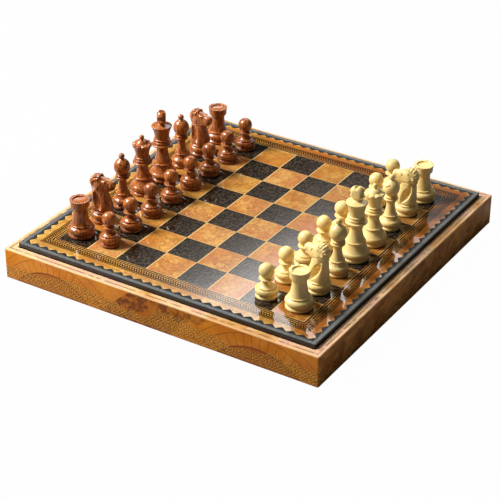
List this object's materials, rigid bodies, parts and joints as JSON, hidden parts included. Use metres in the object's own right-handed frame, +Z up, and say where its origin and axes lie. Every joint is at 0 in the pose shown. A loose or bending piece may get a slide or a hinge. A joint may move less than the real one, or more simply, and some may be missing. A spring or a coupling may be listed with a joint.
{
  "type": "games compendium box",
  "caption": "Square wrapped wooden games case with a lift-off chessboard lid, a set of chessmen standing on it, and wells for draughts, dominoes, cards and dice inside.",
  "frame": {"origin": "centre of the underside", "axes": "+Z up; +X left to right along the front edge; +Y from the front edge to the back; the dark men stand on the -X side"},
  "size_m": [0.35, 0.35, 0.1131],
  "materials": {
    "black_lining": "matt fine-grained black lining",
    "board_core": "plain pale fibreboard",
    "partition_wood": "satin",
    "printed_wrap": "satin printed leathercloth in golden brown",
    "printed_face": "semi-gloss printed leathercloth",
    "dark_leather": "grained black leather with a grey speckle",
    "border_leather": "grained charcoal leather",
    "black_band": "satin black",
    "backing_paper": "matt dark paper",
    "felt": "green felt",
    "dark_wood": "glossy lacquered red-brown wood",
    "light_wood": "satin lacquered boxwood",
    "domino_ivory": "satin",
    "dice_ivory": "gloss",
    "cards_red": "smooth card",
    "cards_blue": "smooth card"
  },
  "bodies": {
    "case": {"base_lining": "black_lining", "base_panel": "board_core", "wall_front": "board_core", "wall_back": "board_core", "wall_left": "board_core", "wall_right": "board_core", "case_wrap": "printed_wrap", "ledge_strips": "partition_wood", "felt_floor": "felt", "partition_left": "partition_wood", "partition_right": "partition_wood", "short_dividers": "partition_wood", "draughts_dark": "dark_wood", "draughts_light": "light_wood", "dominoes": "domino_ivory", "card_pack_red": "cards_red", "card_pack_blue": "cards_blue", "dice": "dice_ivory"},
    "lid": {"board_panel": "board_core", "board_backing": "backing_paper", "board_edge_band": "black_band", "board_face": "printed_face", "dark_squares": "dark_leather", "scalloped_border": "border_leather", "locating_strips": "partition_wood"},
    "dark_rook_1_body": {"dark_rook_1": "dark_wood"},
    "dark_knight_1_body": {"dark_knight_1": "dark_wood"},
    "dark_bishop_1_body": {"dark_bishop_1": "dark_wood"},
    "dark_queen_body": {"dark_queen": "dark_wood"},
    "dark_king_body": {"dark_king": "dark_wood"},
    "dark_bishop_2_body": {"dark_bishop_2": "dark_wood"},
    "dark_knight_2_body": {"dark_knight_2": "dark_wood"},
    "dark_rook_2_body": {"dark_rook_2": "dark_wood"},
    "dark_pawn_1_body": {"dark_pawn_1": "dark_wood"},
    "dark_pawn_2_body": {"dark_pawn_2": "dark_wood"},
    "dark_pawn_3_body": {"dark_pawn_3": "dark_wood"},
    "dark_pawn_4_body": {"dark_pawn_4": "dark_wood"},
    "dark_pawn_5_body": {"dark_pawn_5": "dark_wood"},
    "dark_pawn_6_body": {"dark_pawn_6": "dark_wood"},
    "dark_pawn_7_body": {"dark_pawn_7": "dark_wood"},
    "dark_pawn_8_body": {"dark_pawn_8": "dark_wood"},
    "light_rook_1_body": {"light_rook_1": "light_wood"},
    "light_knight_1_body": {"light_knight_1": "light_wood"},
    "light_bishop_1_body": {"light_bishop_1": "light_wood"},
    "light_king_body": {"light_king": "light_wood"},
    "light_queen_body": {"light_queen": "light_wood"},
    "light_bishop_2_body": {"light_bishop_2": "light_wood"},
    "light_knight_2_body": {"light_knight_2": "light_wood"},
    "light_rook_2_body": {"light_rook_2": "light_wood"},
    "light_pawn_1_body": {"light_pawn_1": "light_wood"},
    "light_pawn_2_body": {"light_pawn_2": "light_wood"},
    "light_pawn_3_body": {"light_pawn_3": "light_wood"},
    "light_pawn_4_body": {"light_pawn_4": "light_wood"},
    "light_pawn_5_body": {"light_pawn_5": "light_wood"},
    "light_pawn_6_body": {"light_pawn_6": "light_wood"},
    "light_pawn_7_body": {"light_pawn_7": "light_wood"},
    "light_pawn_8_body": {"light_pawn_8": "light_wood"}
  },
  "joints": [
    {"name": "lid_lift", "type": "slide", "parent": "case", "child": "lid", "axis": [0, 0, 1], "range_m": [0, 0.12]},
    {"name": "dark_rook_1_lift", "type": "slide", "parent": "lid", "child": "dark_rook_1_body", "axis": [0, 0, 1], "range_m": [0, 0.08]},
    {"name": "dark_knight_1_lift", "type": "slide", "parent": "lid", "child": "dark_knight_1_body", "axis": [0, 0, 1], "range_m": [0, 0.08]},
    {"name": "dark_bishop_1_lift", "type": "slide", "parent": "lid", "child": "dark_bishop_1_body", "axis": [0, 0, 1], "range_m": [0, 0.08]},
    {"name": "dark_queen_lift", "type": "slide", "parent": "lid", "child": "dark_queen_body", "axis": [0, 0, 1], "range_m": [0, 0.08]},
    {"name": "dark_king_lift", "type": "slide", "parent": "lid", "child": "dark_king_body", "axis": [0, 0, 1], "range_m": [0, 0.08]},
    {"name": "dark_bishop_2_lift", "type": "slide", "parent": "lid", "child": "dark_bishop_2_body", "axis": [0, 0, 1], "range_m": [0, 0.08]},
    {"name": "dark_knight_2_lift", "type": "slide", "parent": "lid", "child": "dark_knight_2_body", "axis": [0, 0, 1], "range_m": [0, 0.08]},
    {"name": "dark_rook_2_lift", "type": "slide", "parent": "lid", "child": "dark_rook_2_body", "axis": [0, 0, 1], "range_m": [0, 0.08]},
    {"name": "dark_pawn_1_lift", "type": "slide", "parent": "lid", "child": "dark_pawn_1_body", "axis": [0, 0, 1], "range_m": [0, 0.08]},
    {"name": "dark_pawn_2_lift", "type": "slide", "parent": "lid", "child": "dark_pawn_2_body", "axis": [0, 0, 1], "range_m": [0, 0.08]},
    {"name": "dark_pawn_3_lift", "type": "slide", "parent": "lid", "child": "dark_pawn_3_body", "axis": [0, 0, 1], "range_m": [0, 0.08]},
    {"name": "dark_pawn_4_lift", "type": "slide", "parent": "lid", "child": "dark_pawn_4_body", "axis": [0, 0, 1], "range_m": [0, 0.08]},
    {"name": "dark_pawn_5_lift", "type": "slide", "parent": "lid", "child": "dark_pawn_5_body", "axis": [0, 0, 1], "range_m": [0, 0.08]},
    {"name": "dark_pawn_6_lift", "type": "slide", "parent": "lid", "child": "dark_pawn_6_body", "axis": [0, 0, 1], "range_m": [0, 0.08]},
    {"name": "dark_pawn_7_lift", "type": "slide", "parent": "lid", "child": "dark_pawn_7_body", "axis": [0, 0, 1], "range_m": [0, 0.08]},
    {"name": "dark_pawn_8_lift", "type": "slide", "parent": "lid", "child": "dark_pawn_8_body", "axis": [0, 0, 1], "range_m": [0, 0.08]},
    {"name": "light_rook_1_lift", "type": "slide", "parent": "lid", "child": "light_rook_1_body", "axis": [0, 0, 1], "range_m": [0, 0.08]},
    {"name": "light_knight_1_lift", "type": "slide", "parent": "lid", "child": "light_knight_1_body", "axis": [0, 0, 1], "range_m": [0, 0.08]},
    {"name": "light_bishop_1_lift", "type": "slide", "parent": "lid", "child": "light_bishop_1_body", "axis": [0, 0, 1], "range_m": [0, 0.08]},
    {"name": "light_king_lift", "type": "slide", "parent": "lid", "child": "light_king_body", "axis": [0, 0, 1], "range_m": [0, 0.08]},
    {"name": "light_queen_lift", "type": "slide", "parent": "lid", "child": "light_queen_body", "axis": [0, 0, 1], "range_m": [0, 0.08]},
    {"name": "light_bishop_2_lift", "type": "slide", "parent": "lid", "child": "light_bishop_2_body", "axis": [0, 0, 1], "range_m": [0, 0.08]},
    {"name": "light_knight_2_lift", "type": "slide", "parent": "lid", "child": "light_knight_2_body", "axis": [0, 0, 1], "range_m": [0, 0.08]},
    {"name": "light_rook_2_lift", "type": "slide", "parent": "lid", "child": "light_rook_2_body", "axis": [0, 0, 1], "range_m": [0, 0.08]},
    {"name": "light_pawn_1_lift", "type": "slide", "parent": "lid", "child": "light_pawn_1_body", "axis": [0, 0, 1], "range_m": [0, 0.08]},
    {"name": "light_pawn_2_lift", "type": "slide", "parent": "lid", "child": "light_pawn_2_body", "axis": [0, 0, 1], "range_m": [0, 0.08]},
    {"name": "light_pawn_3_lift", "type": "slide", "parent": "lid", "child": "light_pawn_3_body", "axis": [0, 0, 1], "range_m": [0, 0.08]},
    {"name": "light_pawn_4_lift", "type": "slide", "parent": "lid", "child": "light_pawn_4_body", "axis": [0, 0, 1], "range_m": [0, 0.08]},
    {"name": "light_pawn_5_lift", "type": "slide", "parent": "lid", "child": "light_pawn_5_body", "axis": [0, 0, 1], "range_m": [0, 0.08]},
    {"name": "light_pawn_6_lift", "type": "slide", "parent": "lid", "child": "light_pawn_6_body", "axis": [0, 0, 1], "range_m": [0, 0.08]},
    {"name": "light_pawn_7_lift", "type": "slide", "parent": "lid", "child": "light_pawn_7_body", "axis": [0, 0, 1], "range_m": [0, 0.08]},
    {"name": "light_pawn_8_lift", "type": "slide", "parent": "lid", "child": "light_pawn_8_body", "axis": [0, 0, 1], "range_m": [0, 0.08]}
  ]
}
